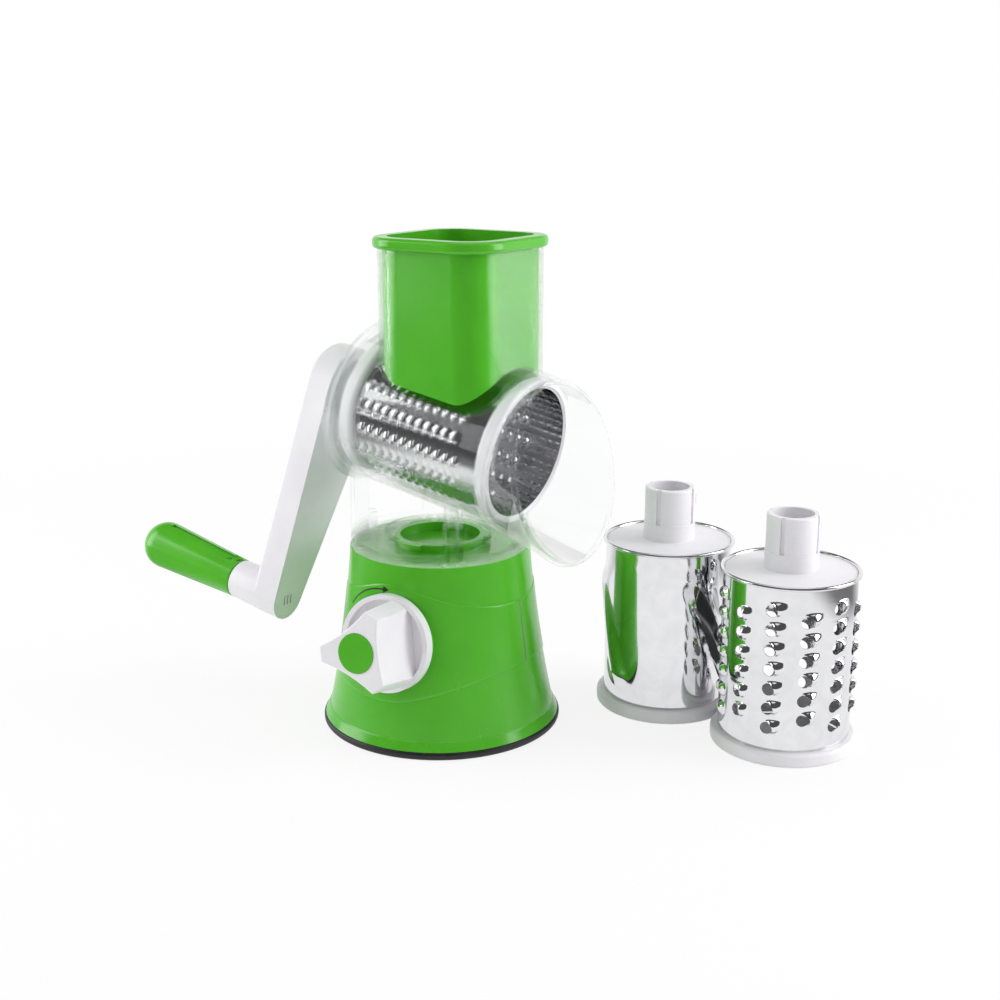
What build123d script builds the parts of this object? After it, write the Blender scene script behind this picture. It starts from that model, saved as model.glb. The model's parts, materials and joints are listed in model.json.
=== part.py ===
from build123d import *
from math import asin, cos, radians, sin
import os

# Rotary drum shredder with a hand crank, standing on a suction base, with two spare drums beside it.
# Millimetres and degrees. The origin is the middle of the suction pad's underside on the counter,
# +Z is up, +X points to the side of the outlet, and the knob is on the -Y side.

# ---- Fits and gaps ------------------------------------------------------------------------------
running_gap = 0.3  # between curved faces that turn or slide on each other
seat_gap = 0.1  # between fixed pieces that are pushed together
end_gap = 0.4  # between the end faces of pieces that turn against each other

# ---- Stance -------------------------------------------------------------------------------------
axis_height = 165.2  # drum axis above the counter, over the middle of the base
axis_tilt = 10.2  # the drum axis dips towards the outlet
outlet_tilt = 11.5  # the outlet mouth leans back from upright

# ---- Drums --------------------------------------------------------------------------------------
drum_radius = 34.5
drum_length = 95.0  # from the back disc's face to the front ring's face
drum_back = -38.0  # back disc's face along the drum axis
sheet = 0.7  # steel sheet of the drums
ring_radius = 38.3
ring_width = 7.5
ring_chamfer = 0.9  # lead-in of the ring's bore at its face
ring_round = 2.0
sheet_inset = 1.0  # the sheet ends this far behind the ring's face
back_ring_radius = 37.6
back_ring_width = 8.0
disc_thickness = 3.0
disc_crown = 1.2  # the back disc rises this much towards the hub
bead_radius = 1.1  # rolled edge of a spare drum's sheet
hub_radius = 13.7
hub_collar_radius = 14.0
hub_collar_length = 10.5
hub_length = 30.0
hub_bore_radius = 10.6
hub_edge_round = 1.0
hub_floor = 4.0
keyway_count = 4
keyway_width = 2.6
keyway_depth = 1.3
snap_size = 5.2
snap_height = 0.5
snap_from_end = 4.8
snap_place = 45.0

# ---- Clear housing ------------------------------------------------------------------------------
chamber_radius = 42.0
clear_wall = 2.4
chamber_gap = 2.0  # drum's front ring stops this far short of the chamber's straight part
back_wall_gap = 2.0  # back disc to the chamber's back wall
flange_radius = 44.6
bearing_wall = 3.4
mouth_centre_x = 77.8
mouth_centre_z = 147.6
mouth_radius = 47.3
mouth_bead = 1.5
chute_width = 71.7
chute_corner = 19.0
chute_centre_x = 14.9
chute_top = 257.2
leg_count = 4
leg_outer = 47.6
leg_foot_depth = 13.5
leg_depth = 9.5
leg_width = 8.4
leg_wall = 1.8
leg_step_height = 17.0
leg_top_drop = 14.0  # the legs end inside the barrel, this far below its axis height
floor_thickness = 2.5
floor_inset = 0.5  # floor ring's edge inside the base's top edge
skirt_height = 5.6
skirt_wall = 1.8
inner_ring_height = 7.4
inner_ring_wall = 1.8
inner_ring_gap = 1.0  # inner ring's bore to the lugs

# ---- Pusher -------------------------------------------------------------------------------------
pusher_wall = 2.4
pusher_saddle_gap = 6.0  # pusher's hollow underside to the drum
pusher_rim_width = 76.1
pusher_rim_height = 6.0
pusher_rim_round = 2.2

# ---- Base ---------------------------------------------------------------------------------------
base_top = 98.8
base_top_radius = 48.4
base_middle_height = 57.0
base_middle_radius = 52.8
base_band_height = 9.4  # top of the band round the foot
base_band_radius = 61.3
base_foot_height = 4.2
base_foot_radius = 64.1
base_wall = 2.4
band_step = 0.7
deck_thickness = 2.8
knob_seat_depth = 9.0
collar_radius = 24.5
collar_wall = 3.0
lug_reach = 2.8
lug_height = 2.2
lug_width = 12.0
lug_count = 3
lug_place = 30.0
lug_turn = 45.0  # the housing is turned this far from where the lugs pass its floor

# ---- Suction pad and its lift ---------------------------------------------------------------------
pad_radius = 65.0
pad_web = 3.2
pad_round = 1.6
pad_lip_height = 3.2
pad_lip_wall = 2.6
pad_boss_radius = 10.5
pad_boss_height = 7.6
pad_lift = 6.0  # height that the knob pulls the middle of the pad
stud_radius = 4.0
stud_foot_radius = 7.0
stud_foot_height = 2.4
stud_foot_level = 3.4
plate_level = 14.4
plate_thickness = 2.4
plate_edge_gap = 2.6
guide_wall = 2.4
guide_height = 20.0
screw_count = 4
screw_place = 45.0
screw_circle = 51.5
screw_radius = 1.75
screw_head_radius = 3.4
screw_head_height = 1.9
screw_length = 12.0
screw_boss_radius = 4.2
screw_boss_height = 14.0

# ---- Knob and cam ---------------------------------------------------------------------------------
knob_turn_to_outlet = 6.0  # knob axis seen from above, turned from -Y towards +X
knob_tilt = 8.0  # knob axis rises outwards, square to the base's wall
knob_axis_height = 51.3  # where the knob axis crosses the middle of the base
knob_seat_distance = 53.8
knob_seat_radius = 23.0
knob_radius = 25.6
knob_floor = 2.2
knob_rim_wall = 2.6
knob_rim_depth = 5.6
knob_depth = 32.0
knob_round = 0.8
knob_tip_radius = 24.0
knob_front_tip_radius = 21.6
knob_waist_radius = 15.6
knob_front_waist_radius = 12.6
knob_tip_width = 10.0
knob_front_tip_width = 8.4
knob_first_lobe = 70.0
knob_lobes = 3
dot_radius = 10.2
dot_thickness = 2.0
dot_proud = 0.3
shaft_radius = 6.0
shaft_square = 8.4
shaft_socket_depth = 14.0
shaft_flange_radius = 9.0
shaft_flange_thickness = 2.4
shaft_boss_radius = 10.0
shaft_boss_length = 4.0
cam_web_radius = 9.0
cam_web_thickness = 4.0
cam_web_distance = 7.5
cam_pin_radius = 3.0
cam_pin_length = 13.0
cam_start = 225.0  # the pin stands low on the left with the pad relaxed
eye_width = 26.0
eye_height = 20.0
eye_round = 4.0
eye_thickness = 8.0
eye_slot_width = 16.0
eye_slot_gap = 0.5
knob_screw_radius = 2.0
knob_screw_head_radius = 3.8
knob_screw_head_height = 2.6
knob_screw_length = 16.0
knob_screw_web = 2.0  # knob's wall under the screw's head

# ---- Crank ----------------------------------------------------------------------------------------
arm_inner = -57.6  # face of the arm next to the housing, along the drum axis
arm_thickness = 16.6
arm_hub_radius = 23.3
arm_end_radius = 11.4
arm_length = 121.4
arm_swing = 18.3  # the arm hangs this far from straight down, towards -Y
arm_wall = 2.4
arm_round = 2.4
cover_thickness = 2.2
cover_inset = 1.6
cover_mark_count = 3
cover_mark_width = 1.0
cover_mark_length = 6.0
cover_mark_pitch = 2.6
cover_mark_depth = 0.6
socket_wall = 2.6
axle_boss_length = 18.6
axle_boss_end_radius = 10.8
axle_boss_round = 0.8
grip_length = 55.0
grip_radius = 10.9
grip_end_radius = 13.4
grip_edge_round = 0.8
grip_pocket_radius = 9.0
grip_groove_count = 8
grip_groove_width = 3.4
grip_groove_depth = 1.1
grip_cap_length = 15.0
grip_cap_radius = 14.0
grip_cap_spigot = 4.0
grip_cap_round = 12.5
bolt_radius = 3.0
bolt_head_radius = 6.0
bolt_head_height = 3.0
bolt_thread_length = 14.0

# ---- Spare drums ----------------------------------------------------------------------------------
coarse_place = (172.4, 70.9)
slicer_place = (94.5, 85.2)

# ---- Derived places -------------------------------------------------------------------------------
drum_plane = Plane(
    origin=(0, 0, axis_height),
    x_dir=(sin(radians(axis_tilt)), 0, cos(radians(axis_tilt))),
    z_dir=(cos(radians(axis_tilt)), 0, -sin(radians(axis_tilt))),
)
mouth_plane = Plane(
    origin=(mouth_centre_x, 0, mouth_centre_z),
    x_dir=(-sin(radians(outlet_tilt)), 0, cos(radians(outlet_tilt))),
    z_dir=(cos(radians(outlet_tilt)), 0, sin(radians(outlet_tilt))),
)
knob_plane = Plane(
    origin=(0, 0, knob_axis_height),
    x_dir=(cos(radians(knob_turn_to_outlet)), sin(radians(knob_turn_to_outlet)), 0),
    z_dir=(
        sin(radians(knob_turn_to_outlet)) * cos(radians(knob_tilt)),
        -cos(radians(knob_turn_to_outlet)) * cos(radians(knob_tilt)),
        sin(radians(knob_tilt)),
    ),
)
drum_front = drum_back + drum_length
chamber_back = drum_back - back_wall_gap
chamber_front = drum_front - chamber_gap
chamber_bore = chamber_radius - clear_wall
bearing_bore = hub_collar_radius + running_gap
housing_floor = base_top + floor_thickness
lug_level = floor_thickness + running_gap
inner_ring_bore = collar_radius + lug_reach + inner_ring_gap
chute_bore = chute_width - 2 * clear_wall
pusher_width = chute_bore - 2 * running_gap
pusher_corner = chute_corner - clear_wall - running_gap
pusher_rim_corner = pusher_corner + (pusher_rim_width - pusher_width) / 2
saddle_radius = drum_radius + pusher_saddle_gap
cam_throw = pad_lift * cos(radians(knob_tilt)) / (2 * sin(radians(45)))
arm_outer = arm_inner - arm_thickness
arm_end = (
    -arm_length * cos(radians(arm_swing)),
    arm_length * sin(radians(arm_swing)),
)
socket_depth = hub_length - (drum_back - arm_inner) + end_gap


def section(seat):
    """Plane through the seat's axis: its X is the seat's X and its Y runs along the axis."""
    return Plane(origin=seat.origin, x_dir=seat.x_dir, z_dir=-seat.y_dir)


def axis_of(seat):
    return Axis(seat.origin, seat.z_dir)


def turned(seat, outline, mode=Mode.ADD):
    """Turns a closed outline of (radius, height) or (radius, height, round) points about the axis."""
    rounds = [point[2] if len(point) == 3 else 0 for point in outline]
    with BuildSketch(section(seat)) as profile:
        with BuildLine():
            FilletPolyline(*[point[:2] for point in outline], radius=rounds, close=True)
        make_face()
    revolve(profile.sketch, axis=axis_of(seat), mode=mode)


def bored(seat, radius, low, high, mode=Mode.SUBTRACT):
    """Cuts, or adds, a round bar of the given radius along the seat's axis."""
    turned(seat, [(0, low), (radius, low), (radius, high), (0, high)], mode)


# ==== Base =========================================================================================
with BuildPart() as base_shell:
    with BuildSketch(Plane.XZ):
        with BuildLine():
            outside = ThreePointArc(
                (base_top_radius, base_top),
                (base_middle_radius, base_middle_height),
                (base_band_radius, base_band_height),
            )
            inside = ThreePointArc(
                (base_band_radius - base_wall, base_band_height),
                (base_middle_radius - base_wall, base_middle_height),
                (base_top_radius - base_wall, base_top - deck_thickness),
            )
            Polyline(
                outside @ 1,
                (base_band_radius + band_step, base_band_height - band_step),
                (base_foot_radius, base_foot_height),
                (base_foot_radius - base_wall, base_foot_height),
                inside @ 0,
            )
            Polyline(inside @ 1, (0, base_top - deck_thickness), (0, base_top), outside @ 0)
        make_face()
    revolve(axis=Axis.Z)
    # Collar whose bayonet lugs hold the clear housing down.
    with BuildSketch(Plane.XY.offset(base_top)):
        Circle(collar_radius)
        Circle(collar_radius - collar_wall, mode=Mode.SUBTRACT)
    extrude(amount=lug_level + lug_height)
    with BuildSketch(Plane.XY.offset(base_top + lug_level)):
        with PolarLocations(collar_radius, lug_count, start_angle=lug_place):
            Rectangle(2 * lug_reach, lug_width)
        Circle(collar_radius + lug_reach, mode=Mode.INTERSECT)
    extrude(amount=lug_height)
    # Round flat seat for the knob, hollow behind, with the bearing of the knob's shaft.
    bored(knob_plane, knob_seat_radius, knob_seat_distance - knob_seat_depth, knob_seat_distance, Mode.ADD)
    bored(
        knob_plane,
        knob_seat_radius - base_wall,
        knob_seat_distance - 2 * knob_seat_depth,
        knob_seat_distance - base_wall,
    )
    bored(
        knob_plane,
        shaft_boss_radius,
        knob_seat_distance - base_wall - shaft_boss_length,
        knob_seat_distance - base_wall,
        Mode.ADD,
    )
    bored(knob_plane, shaft_radius + running_gap, 0, knob_seat_distance)
    # Bosses that take the screws of the guide plate.
    with BuildSketch(Plane.XY.offset(plate_level + plate_thickness)):
        with PolarLocations(screw_circle, screw_count, start_angle=screw_place):
            Circle(screw_boss_radius)
            Circle(screw_radius, mode=Mode.SUBTRACT)
    extrude(amount=screw_boss_height)

pad_lip_radius = base_foot_radius - base_wall - seat_gap
pad_lip_top_radius = pad_lip_radius - pad_lip_height * (base_foot_radius - base_band_radius) / (
    base_band_height - base_foot_height
)

with BuildPart() as suction_pad:
    turned(
        Plane.XY,
        [
            (0, 0),
            (pad_radius, 0, pad_round),
            (pad_radius, base_foot_height, pad_round),
            (pad_lip_radius, base_foot_height),
            (pad_lip_top_radius, base_foot_height + pad_lip_height),
            (pad_lip_top_radius - pad_lip_wall, base_foot_height + pad_lip_height),
            (pad_lip_top_radius - pad_lip_wall - pad_web, pad_web),
            (pad_boss_radius, pad_web, pad_round),
            (pad_boss_radius, pad_boss_height, pad_round),
            (0, pad_boss_height),
        ],
    )
    # Room for the foot of the pull stud, which the rubber is moulded round.
    bored(Plane.XY, stud_foot_radius, stud_foot_level, stud_foot_level + stud_foot_height)
    bored(Plane.XY, stud_radius, stud_foot_level, pad_boss_height)

plate_radius = base_band_radius - base_wall - plate_edge_gap
guide_bore = stud_radius + running_gap

with BuildPart() as guide_plate:
    turned(
        Plane.XY.offset(plate_level),
        [
            (guide_bore, 0),
            (plate_radius, 0),
            (plate_radius, plate_thickness),
            (guide_bore + guide_wall, plate_thickness),
            (guide_bore + guide_wall, guide_height),
            (guide_bore, guide_height),
        ],
    )
    with BuildSketch(Plane.XY.offset(plate_level)):
        with PolarLocations(screw_circle, screw_count, start_angle=screw_place):
            Circle(screw_radius + seat_gap)
    extrude(amount=plate_thickness, mode=Mode.SUBTRACT)

with BuildPart() as plate_screws:
    with BuildSketch(Plane.XY.offset(plate_level - screw_head_height)):
        with PolarLocations(screw_circle, screw_count, start_angle=screw_place):
            Circle(screw_head_radius)
    extrude(amount=screw_head_height)
    with BuildSketch(Plane.XY.offset(plate_level)):
        with PolarLocations(screw_circle, screw_count, start_angle=screw_place):
            Circle(screw_radius)
    extrude(amount=screw_length)

# ==== Knob, cam and pull stud ======================================================================
pin_x = cam_throw * cos(radians(cam_start))
pin_y = cam_throw * sin(radians(cam_start))
pin_level = knob_axis_height + pin_y * cos(radians(knob_tilt))
eye_plane = Plane(
    origin=(0, 0, pin_level),
    x_dir=knob_plane.x_dir,
    z_dir=(-knob_plane.x_dir.Y, knob_plane.x_dir.X, 0),
)

with BuildPart() as pull_stud:
    with BuildSketch(eye_plane.offset(-eye_thickness / 2)):
        RectangleRounded(eye_width, eye_height, eye_round)
    extrude(amount=eye_thickness)
    bored(Plane.XY, stud_radius, stud_foot_level, pin_level - cam_pin_radius - eye_slot_gap, Mode.ADD)
    bored(Plane.XY, stud_foot_radius, stud_foot_level, stud_foot_level + stud_foot_height, Mode.ADD)
    with BuildSketch(knob_plane.offset(-eye_thickness)):
        with Locations((0, pin_y)):
            SlotOverall(eye_slot_width, 2 * (cam_pin_radius + eye_slot_gap))
    extrude(amount=2 * eye_thickness, mode=Mode.SUBTRACT)

shaft_boss_end = knob_seat_distance - base_wall - shaft_boss_length
shaft_flange_distance = shaft_boss_end - end_gap - shaft_flange_thickness
knob_back = knob_seat_distance + end_gap
knob_front = knob_back + knob_depth
shaft_end = knob_back + knob_floor + shaft_socket_depth

with BuildPart() as cam_shaft:
    bored(knob_plane, shaft_radius, cam_web_distance, knob_back, Mode.ADD)
    bored(knob_plane, cam_web_radius, cam_web_distance, cam_web_distance + cam_web_thickness, Mode.ADD)
    bored(
        knob_plane,
        shaft_flange_radius,
        shaft_flange_distance,
        shaft_flange_distance + shaft_flange_thickness,
        Mode.ADD,
    )
    with BuildSketch(knob_plane.offset(knob_back)):
        Rectangle(shaft_square, shaft_square)
    extrude(amount=shaft_end - knob_back)
    with BuildSketch(knob_plane.offset(cam_web_distance)):
        with Locations((pin_x, pin_y)):
            Circle(cam_pin_radius)
    extrude(amount=-cam_pin_length)
    bored(knob_plane, knob_screw_radius, shaft_end - knob_screw_length, shaft_end)


def lobed_outline(tip_radius, waist_radius, tip_width):
    """Three blunt lobes joined by hollow sides, as the knob's grip is seen from the front."""
    half_tip = asin(tip_width / 2 / tip_radius)
    step = 2 * radians(180) / knob_lobes

    def at(radius, angle):
        return (radius * cos(angle), radius * sin(angle))

    with BuildLine() as outline:
        for lobe in range(knob_lobes):
            middle = radians(knob_first_lobe) + lobe * step
            ThreePointArc(
                at(tip_radius, middle - half_tip), at(tip_radius, middle), at(tip_radius, middle + half_tip)
            )
            ThreePointArc(
                at(tip_radius, middle + half_tip),
                at(waist_radius, middle + step / 2),
                at(tip_radius, middle + step - half_tip),
            )
    return outline.edges()


with BuildPart() as knob:
    turned(
        knob_plane.offset(knob_back),
        [
            (0, 0),
            (knob_radius, 0),
            (knob_radius, knob_rim_depth),
            (knob_radius - knob_rim_wall, knob_rim_depth),
            (knob_radius - knob_rim_wall, knob_floor),
            (0, knob_floor),
        ],
    )
    with BuildSketch(knob_plane.offset(knob_back + knob_floor)):
        make_face(lobed_outline(knob_tip_radius, knob_waist_radius, knob_tip_width))
    with BuildSketch(knob_plane.offset(knob_front)):
        make_face(lobed_outline(knob_front_tip_radius, knob_front_waist_radius, knob_front_tip_width))
    loft(ruled=True)
    fillet(knob.faces().sort_by(axis_of(knob_plane))[-1].edges(), knob_round)
    bored(knob_plane, dot_radius + seat_gap, knob_front - dot_thickness + dot_proud, knob_front)
    bored(
        knob_plane,
        knob_screw_head_radius + running_gap,
        shaft_end + knob_screw_web,
        knob_front,
    )
    bored(knob_plane, knob_screw_radius + seat_gap, shaft_end, knob_front)
    with BuildSketch(knob_plane.offset(knob_back)):
        Rectangle(shaft_square + 2 * seat_gap, shaft_square + 2 * seat_gap)
    extrude(amount=shaft_end + seat_gap - knob_back, mode=Mode.SUBTRACT)

with BuildPart() as knob_dot:
    bored(
        knob_plane,
        dot_radius,
        knob_front - dot_thickness + dot_proud,
        knob_front + dot_proud,
        Mode.ADD,
    )

with BuildPart() as knob_screw:
    head_seat = shaft_end + knob_screw_web
    bored(knob_plane, knob_screw_head_radius, head_seat, head_seat + knob_screw_head_height, Mode.ADD)
    bored(knob_plane, knob_screw_radius, shaft_end - knob_screw_length, head_seat, Mode.ADD)

# ==== Clear housing ================================================================================
with BuildPart() as housing_space:
    # The hollow of the barrel, the outlet and the feed chute.
    with BuildSketch(drum_plane.offset(chamber_back)):
        Circle(chamber_bore)
    extrude(amount=chamber_front - chamber_back)
    with BuildSketch(drum_plane.offset(chamber_front)):
        Circle(chamber_bore)
    with BuildSketch(mouth_plane):
        Circle(mouth_radius - clear_wall)
    loft()
    with BuildSketch(Plane.XY.offset(axis_height)):
        with Locations((chute_centre_x, 0)):
            RectangleRounded(chute_bore, chute_bore, chute_corner - clear_wall)
    extrude(amount=chute_top - axis_height)

with BuildPart() as clear_housing:
    with BuildSketch(drum_plane.offset(chamber_back - clear_wall)):
        Circle(chamber_radius)
    extrude(amount=chamber_front - chamber_back + clear_wall)
    with BuildSketch(drum_plane.offset(chamber_front)):
        Circle(chamber_radius)
    with BuildSketch(mouth_plane):
        Circle(mouth_radius)
    loft()
    with BuildSketch(Plane.XY.offset(axis_height)):
        with Locations((chute_centre_x, 0)):
            RectangleRounded(chute_width, chute_width, chute_corner)
    extrude(amount=chute_top - axis_height)
    # Back flange and the bearing that the drum's hub turns in.
    bored(drum_plane, flange_radius, chamber_back - clear_wall, chamber_back, Mode.ADD)
    bored(drum_plane, bearing_bore + bearing_wall, arm_inner + end_gap, chamber_back, Mode.ADD)
    # Four channel legs, deeper at the foot.
    for depth, low, high in (
        (leg_foot_depth, housing_floor, housing_floor + leg_step_height),
        (leg_depth, housing_floor + leg_step_height, axis_height - leg_top_drop),
    ):
        with BuildSketch(Plane.XY.offset(low)):
            with PolarLocations(leg_outer - depth / 2, leg_count, start_angle=45):
                Rectangle(depth, leg_width)
            with PolarLocations(leg_outer - leg_wall - depth / 2, leg_count, start_angle=45):
                Rectangle(depth, leg_width - 2 * leg_wall, mode=Mode.SUBTRACT)
        extrude(amount=high - low)
    add(housing_space.part, mode=Mode.SUBTRACT)
    bored(drum_plane, bearing_bore, arm_inner, chamber_back)
    # Floor ring with its skirt, the inner ring, and the notches that pass the lugs.
    turned(
        Plane.XY.offset(base_top),
        [
            (collar_radius + running_gap, 0),
            (base_top_radius - floor_inset, 0),
            (base_top_radius - floor_inset, skirt_height),
            (base_top_radius - floor_inset - skirt_wall, skirt_height),
            (base_top_radius - floor_inset - skirt_wall, floor_thickness),
            (inner_ring_bore + inner_ring_wall, floor_thickness),
            (inner_ring_bore + inner_ring_wall, inner_ring_height),
            (inner_ring_bore, inner_ring_height),
            (inner_ring_bore, floor_thickness),
            (collar_radius + running_gap, floor_thickness),
        ],
    )
    with BuildSketch(Plane.XY.offset(base_top)):
        with PolarLocations(collar_radius, lug_count, start_angle=lug_place + lug_turn):
            Rectangle(2 * (lug_reach + running_gap), lug_width + 2 * running_gap)
        Circle(inner_ring_bore, mode=Mode.INTERSECT)
    extrude(amount=floor_thickness, mode=Mode.SUBTRACT)
    # Rounded bead round the mouth.
    with BuildSketch(section(mouth_plane)):
        with Locations((mouth_radius - clear_wall / 2, 0)):
            Circle(mouth_bead)
    revolve(axis=axis_of(mouth_plane))

# ==== Pusher =======================================================================================
with BuildPart() as pusher_hollow:
    with BuildSketch(Plane.XY.offset(axis_height)):
        with Locations((chute_centre_x, 0)):
            RectangleRounded(
                pusher_width - 2 * pusher_wall, pusher_width - 2 * pusher_wall, pusher_corner - pusher_wall
            )
    extrude(amount=chute_top + pusher_rim_height - axis_height)
    with BuildSketch(drum_plane.offset(-drum_length)):
        Circle(saddle_radius + pusher_wall)
    extrude(amount=2 * drum_length, mode=Mode.SUBTRACT)

with BuildPart() as pusher:
    with BuildSketch(Plane.XY.offset(axis_height)):
        with Locations((chute_centre_x, 0)):
            RectangleRounded(pusher_width, pusher_width, pusher_corner)
    extrude(amount=chute_top - axis_height)
    with BuildSketch(Plane.XY.offset(chute_top)):
        with Locations((chute_centre_x, 0)):
            RectangleRounded(pusher_rim_width, pusher_rim_width, pusher_rim_corner)
    extrude(amount=pusher_rim_height)
    rim_faces = pusher.faces().filter_by(Axis.Z).sort_by(Axis.Z)[-2:]
    rim_edges = rim_faces[0].outer_wire().edges() + rim_faces[1].outer_wire().edges()
    fillet(rim_edges, pusher_rim_round)
    with BuildSketch(drum_plane.offset(-drum_length)):
        Circle(saddle_radius)
    extrude(amount=2 * drum_length, mode=Mode.SUBTRACT)
    add(pusher_hollow.part, mode=Mode.SUBTRACT)

# ==== Drums ========================================================================================
# Each drum is made from its back disc's face: the seat's axis points to the front ring.


def drum_ring(seat):
    """White ring on the open end of a drum."""
    with BuildPart() as ring:
        turned(
            seat,
            [
                (drum_radius, drum_length - ring_width),
                (ring_radius, drum_length - ring_width, ring_round),
                (ring_radius, drum_length, ring_round),
                (drum_radius + ring_chamfer, drum_length),
                (drum_radius, drum_length - sheet_inset),
            ],
        )
    return ring


# Edge of a spare drum's disc, and of the mounted drum's disc with its skirt over the sheet.
plain_rim = [(drum_radius - sheet, 0)]
skirted_rim = [
    (drum_radius - sheet, -sheet_inset),
    (drum_radius, -sheet_inset),
    (drum_radius, -back_ring_width),
    (back_ring_radius, -back_ring_width, ring_round),
    (back_ring_radius, 0, ring_round),
]


def drum_hub(seat, rim):
    """Back disc with its hollow hub: a plain collar that turns in the bearing, then keyways and a snap."""
    outward = Plane(origin=seat.origin, x_dir=seat.x_dir, z_dir=-seat.z_dir)
    with BuildPart() as hub:
        turned(
            outward,
            [
                (0, -disc_thickness),
                (drum_radius - sheet, -disc_thickness),
                *rim,
                (hub_collar_radius, disc_crown),
                (hub_collar_radius, hub_collar_length),
                (hub_radius, hub_collar_length),
                (hub_radius, hub_length, hub_edge_round),
                (hub_bore_radius, hub_length),
                (hub_bore_radius, hub_floor),
                (0, hub_floor),
            ],
        )
        with BuildSketch(outward.offset(hub_collar_length)):
            with PolarLocations(hub_radius, keyway_count):
                Rectangle(2 * keyway_depth, keyway_width)
        extrude(amount=hub_length - hub_collar_length, mode=Mode.SUBTRACT)
        with BuildSketch(outward.offset(hub_length - snap_from_end - snap_size)):
            with PolarLocations(hub_radius, 1, start_angle=snap_place):
                Rectangle(2 * snap_height, snap_size)
        extrude(amount=snap_size)
    return hub


def drum_sheet(seat, back_inset):
    """Plain steel sleeve of a drum."""
    with BuildPart() as sleeve:
        turned(
            seat,
            [
                (drum_radius - sheet, back_inset),
                (drum_radius, back_inset),
                (drum_radius, drum_length - sheet_inset),
                (drum_radius - sheet, drum_length - sheet_inset),
            ],
        )
    return sleeve


def roll_edge(seat):
    """Rolls the back edge of a spare drum's sheet outwards into a bead."""
    with BuildSketch(section(seat)) as bead:
        with Locations((drum_radius + bead_radius - sheet / 2, 0)):
            Circle(bead_radius)
    revolve(bead.sketch, axis=axis_of(seat))


mounted_seat = drum_plane.offset(drum_back)
coarse_seat = Plane(origin=(*coarse_place, drum_length), x_dir=(1, 0, 0), z_dir=(0, 0, -1))
slicer_seat = Plane(origin=(*slicer_place, drum_length), x_dir=(1, 0, 0), z_dir=(0, 0, -1))

fine_drum_ring = drum_ring(mounted_seat)
fine_drum_hub = drum_hub(mounted_seat, skirted_rim)
fine_drum_sheet = drum_sheet(mounted_seat, sheet_inset)

coarse_drum_ring = drum_ring(coarse_seat)
coarse_drum_hub = drum_hub(coarse_seat, plain_rim)
coarse_drum_sheet = drum_sheet(coarse_seat, 0)
with coarse_drum_sheet:
    roll_edge(coarse_seat)

slicer_drum_ring = drum_ring(slicer_seat)
slicer_drum_hub = drum_hub(slicer_seat, plain_rim)
slicer_drum_sheet = drum_sheet(slicer_seat, 0)
with slicer_drum_sheet:
    roll_edge(slicer_seat)

# ==== Crank ========================================================================================
arm_plane = drum_plane.offset(arm_outer)
cover_plane = arm_plane.offset(arm_thickness - cover_thickness)
grip_plane = Plane(
    origin=arm_plane.from_local_coords((*arm_end, 0)), x_dir=arm_plane.x_dir, z_dir=-arm_plane.z_dir
)


def arm_outline(seat, inset):
    """Long tapering outline of the arm, drawn in by an inset."""
    with BuildSketch(seat) as outline:
        Circle(arm_hub_radius - inset)
        with Locations(arm_end):
            Circle(arm_end_radius - inset)
        make_hull()
    return outline.sketch


with BuildPart() as crank_arm:
    extrude(arm_outline(arm_plane, 0), amount=arm_thickness)
    fillet(crank_arm.faces().sort_by(axis_of(arm_plane))[0].edges(), arm_round)
    extrude(
        arm_outline(arm_plane.offset(arm_wall), arm_wall),
        amount=arm_thickness - arm_wall,
        mode=Mode.SUBTRACT,
    )
    extrude(
        arm_outline(cover_plane, cover_inset - seat_gap),
        amount=cover_thickness,
        mode=Mode.SUBTRACT,
    )
    # Socket for the drum's hub, with keys and a way in for the hub's snap.
    bored(arm_plane, hub_radius + seat_gap + socket_wall, arm_wall, arm_thickness, Mode.ADD)
    bored(arm_plane, hub_radius + seat_gap, arm_thickness - socket_depth, arm_thickness)
    with BuildSketch(arm_plane.offset(arm_thickness - socket_depth)):
        with PolarLocations(hub_radius + seat_gap, 2, start_angle=0):
            Rectangle(2 * (keyway_depth - seat_gap), keyway_width - 2 * seat_gap)
    extrude(amount=socket_depth)
    with BuildSketch(arm_plane.offset(arm_thickness - socket_depth)):
        with PolarLocations(hub_radius + seat_gap, 1, start_angle=-snap_place):
            Rectangle(2 * (snap_height + seat_gap), snap_size + 2 * seat_gap)
    extrude(amount=socket_depth, mode=Mode.SUBTRACT)
    # Boss for the grip's bolt, inside the arm and outside it.
    bored(grip_plane, bolt_radius + socket_wall, cover_thickness - arm_thickness, -arm_wall, Mode.ADD)
    turned(
        grip_plane,
        [
            (0, -arm_round),
            (arm_end_radius, -arm_round),
            (arm_end_radius, 0),
            (axle_boss_end_radius, axle_boss_length, axle_boss_round),
            (0, axle_boss_length),
        ],
    )
    bored(grip_plane, bolt_radius, -bolt_thread_length, axle_boss_length)

with BuildPart() as arm_cover:
    extrude(arm_outline(cover_plane, cover_inset), amount=cover_thickness)
    bored(arm_plane, hub_radius + socket_wall + 2 * seat_gap, 0, arm_thickness)
    # Three slanted marks near the lower end.
    with BuildSketch(arm_plane.offset(arm_thickness)):
        with Locations(Location(arm_end)):
            with GridLocations(0, cover_mark_pitch, 1, cover_mark_count):
                SlotOverall(cover_mark_length, cover_mark_width)
    extrude(amount=-cover_mark_depth, mode=Mode.SUBTRACT)

grip_start = axle_boss_length + end_gap
grip_end = grip_start + grip_length
pocket_depth = grip_cap_spigot + bolt_head_height + 2 * end_gap

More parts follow.
